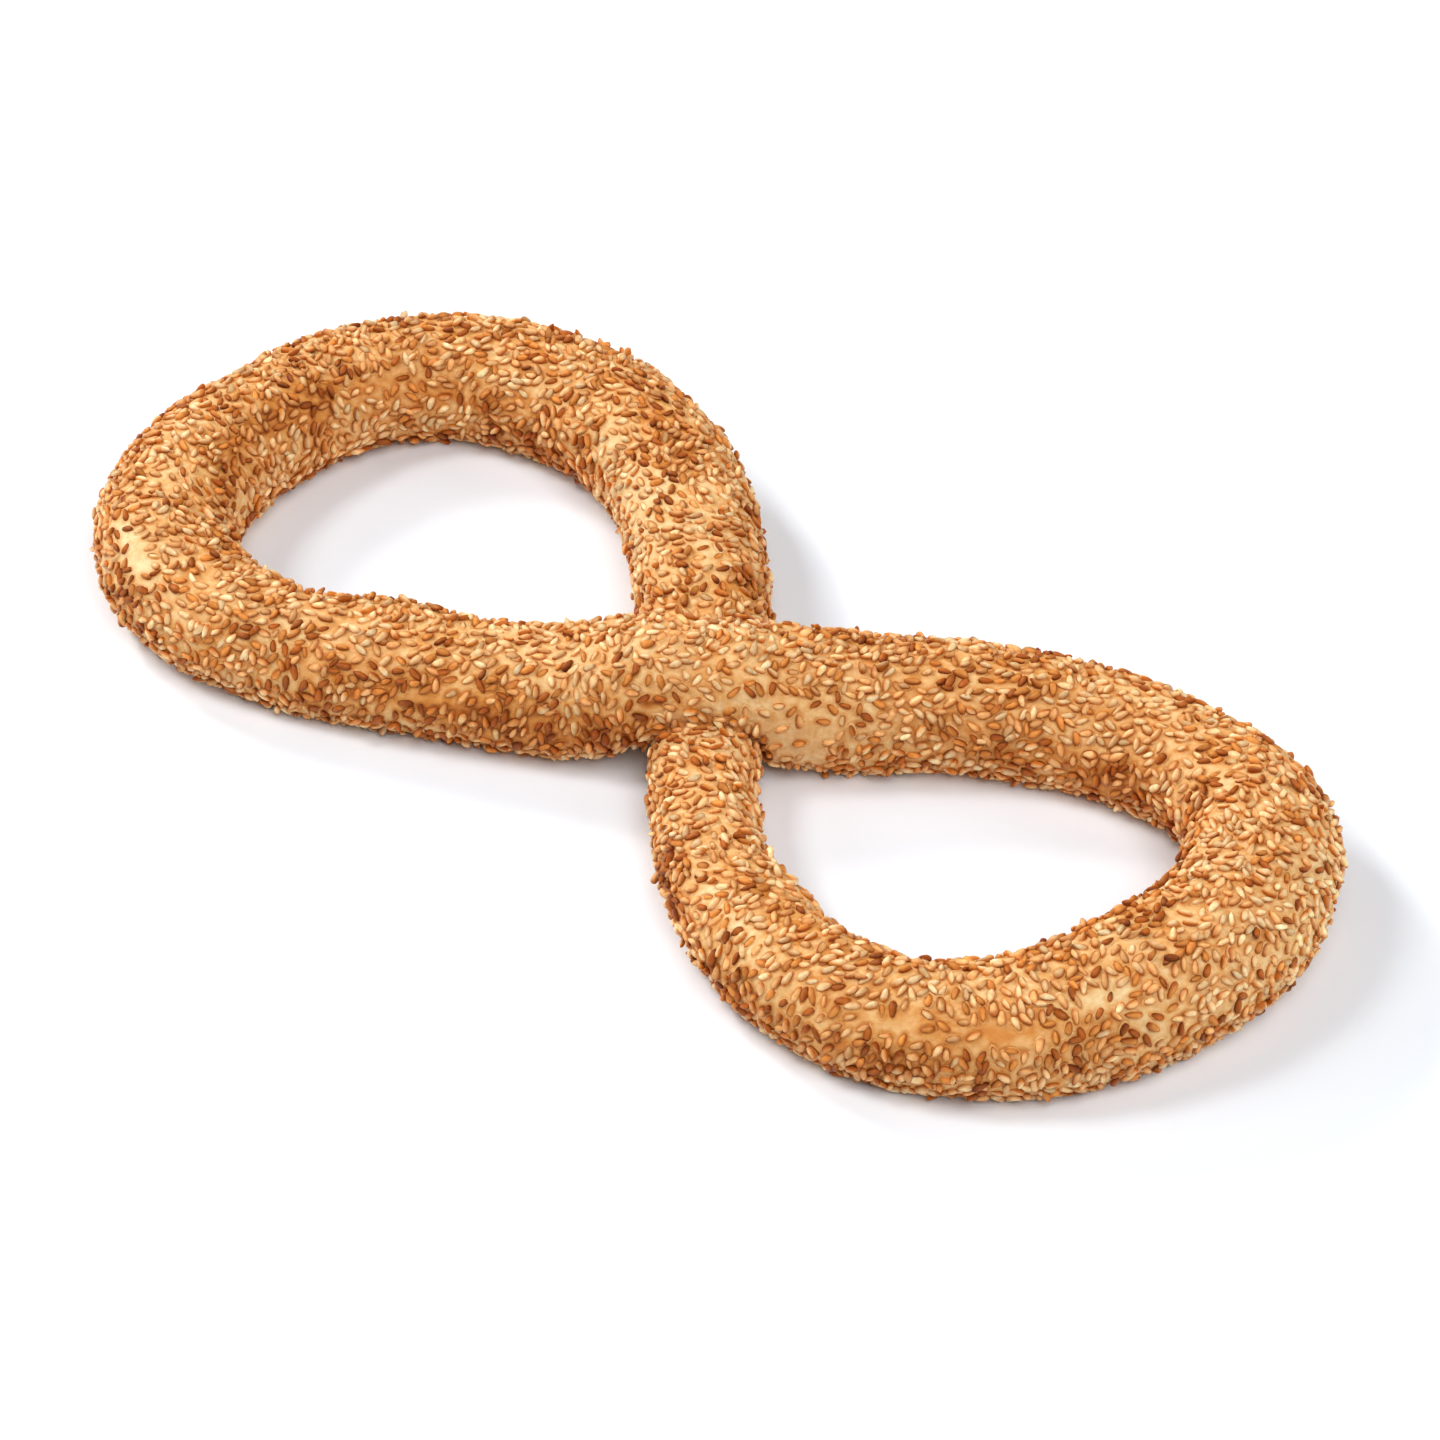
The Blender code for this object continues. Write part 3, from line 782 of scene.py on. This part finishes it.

# darker at each seed's edge (toast and painted shade in the hollow) and painted shade along the crease where the
# strands meet
crust_toast_and_shade = crust_tone(P, AT, TURN, SOLE) + 0.30 * np.exp(-((ring - 0.9) / 0.4) ** 2) + 1.1 * CREASE**2
set_colour(dough.data, "crust", crust_colour(crust_toast_and_shade))
def crust_material():
    m, nodes, links, bsdf = principled("crust")
    tint = nodes.new("ShaderNodeVertexColor")
    tint.layer_name = "crust"
    coords = nodes.new("ShaderNodeTexCoord")
    mottle = nodes.new("ShaderNodeTexNoise")
    mottle.inputs["Scale"].default_value = 420.0
    mottle.inputs["Detail"].default_value = 5.0
    mottle.inputs["Roughness"].default_value = 0.6
    links.new(coords.outputs["Object"], mottle.inputs["Vector"])
    range_ = two_tones(nodes, links, mottle, (0.86, 0.70, 0.50), (1.06, 1.12, 1.22))
    mix = nodes.new("ShaderNodeMix")
    mix.data_type = "RGBA"
    mix.blend_type = "MULTIPLY"
    mix.inputs["Factor"].default_value = 1.0
    links.new(tint.outputs["Color"], mix.inputs["A"])
    links.new(range_.outputs["Result"], mix.inputs["B"])
    links.new(mix.outputs["Result"], bsdf.inputs["Base Color"])
    fine = nodes.new("ShaderNodeTexNoise")
    fine.inputs["Scale"].default_value = 1400.0
    fine.inputs["Detail"].default_value = 4.0
    links.new(coords.outputs["Object"], fine.inputs["Vector"])
    bump = nodes.new("ShaderNodeBump")
    bump.inputs["Strength"].default_value = 0.5
    bump.inputs["Distance"].default_value = 0.0003
    links.new(fine.outputs["Fac"], bump.inputs["Height"])
    links.new(bump.outputs["Normal"], bsdf.inputs["Normal"])
    rough = nodes.new("ShaderNodeMapRange")
    rough.inputs["To Min"].default_value = 0.42
    rough.inputs["To Max"].default_value = 0.68
    links.new(mottle.outputs["Fac"], rough.inputs["Value"])
    links.new(rough.outputs["Result"], bsdf.inputs["Roughness"])
    bsdf.inputs["Specular IOR Level"].default_value = 0.18
    bsdf.inputs["Subsurface Weight"].default_value = 0.15
    bsdf.inputs["Subsurface Radius"].default_value = (0.002, 0.001, 0.0005)
    bsdf.inputs["Subsurface Scale"].default_value = 1.0
    return m


dough.data.materials.clear()
dough.data.materials.append(crust_material())
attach(dough, "root")
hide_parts("simit")
print("PIECE dough", len(TRI), "triangles")

# ----------------------------------------------------------------------------
# Stage, light, camera
# ----------------------------------------------------------------------------
LOOK = math.radians(42.1)  # the camera looks this far round from +Y
TILT = math.radians(40.0)
TARGET = Vector(((5.05 - MIDDLE[0]) * MM, (-2.22 - MIDDLE[1]) * MM, 12.0 * MM))


def stage_way(right, away, up):
    """A direction given as seen by the camera: to its right, away from it, and up."""
    c, s = math.cos(LOOK), math.sin(LOOK)
    return Vector((right * c - away * s, right * s + away * c, up))


bpy.ops.mesh.primitive_plane_add(size=6.0, location=(0, 0, 0))
floor = bpy.context.object
floor.name = "floor"
m, nodes, links, bsdf = principled("pale_floor")
bsdf.inputs["Base Color"].default_value = (0.885, 0.93, 0.99, 1.0)
bsdf.inputs["Roughness"].default_value = 0.75
bsdf.inputs["Specular IOR Level"].default_value = 0.2
floor.data.materials.append(m)


def softbox(name, way, distance, size, power, colour=(1, 1, 1)):
    light = bpy.data.lights.new(name, "AREA")
    light.shape = "SQUARE"
    light.size = size
    light.energy = power
    light.color = colour
    obj = bpy.data.objects.new(name, light)
    bpy.context.scene.collection.objects.link(obj)
    obj.location = TARGET + way.normalized() * distance
    obj.rotation_euler = (TARGET - obj.location).to_track_quat("-Z", "Y").to_euler()
    return obj


def around(turn, up):
    """A direction as turn degrees clockwise from straight away from the camera, and degrees up."""
    a, e = math.radians(turn), math.radians(up)
    return stage_way(math.sin(a) * math.cos(e), math.cos(a) * math.cos(e), math.sin(e))


softbox("front", around(160, 55), 2.0, 1.3, 25.5, (1.0, 0.995, 0.985))
softbox("left_high", around(272, 54), 2.0, 0.55, 14.0, (1.0, 0.99, 0.97))
softbox("left_low", around(272, 29), 2.0, 0.6, 7.0, (1.0, 0.99, 0.97))
softbox("left_back", around(315, 32), 2.0, 0.4, 18.5, (1.0, 0.985, 0.96))
softbox("right", around(88, 29), 2.0, 1.0, 10.5, (1.0, 1.0, 1.0))

world = bpy.data.worlds.new("studio")
bpy.context.scene.world = world
world.use_nodes = True
world.node_tree.nodes["Background"].inputs["Color"].default_value = (0.975, 0.98, 1.0, 1.0)
world.node_tree.nodes["Background"].inputs["Strength"].default_value = 0.12

camera = bpy.data.cameras.new("camera")
camera.lens = 125.0
camera.sensor_width = 36.0
camera.clip_start, camera.clip_end = 0.05, 20.0
view = bpy.data.objects.new("camera", camera)
bpy.context.scene.collection.objects.link(view)
view.location = TARGET + stage_way(0.0, -math.cos(TILT), math.sin(TILT))
view.rotation_euler = (TARGET - view.location).to_track_quat("-Z", "Y").to_euler()
bpy.context.scene.camera = view
bpy.context.scene.view_settings.view_transform = "Standard"
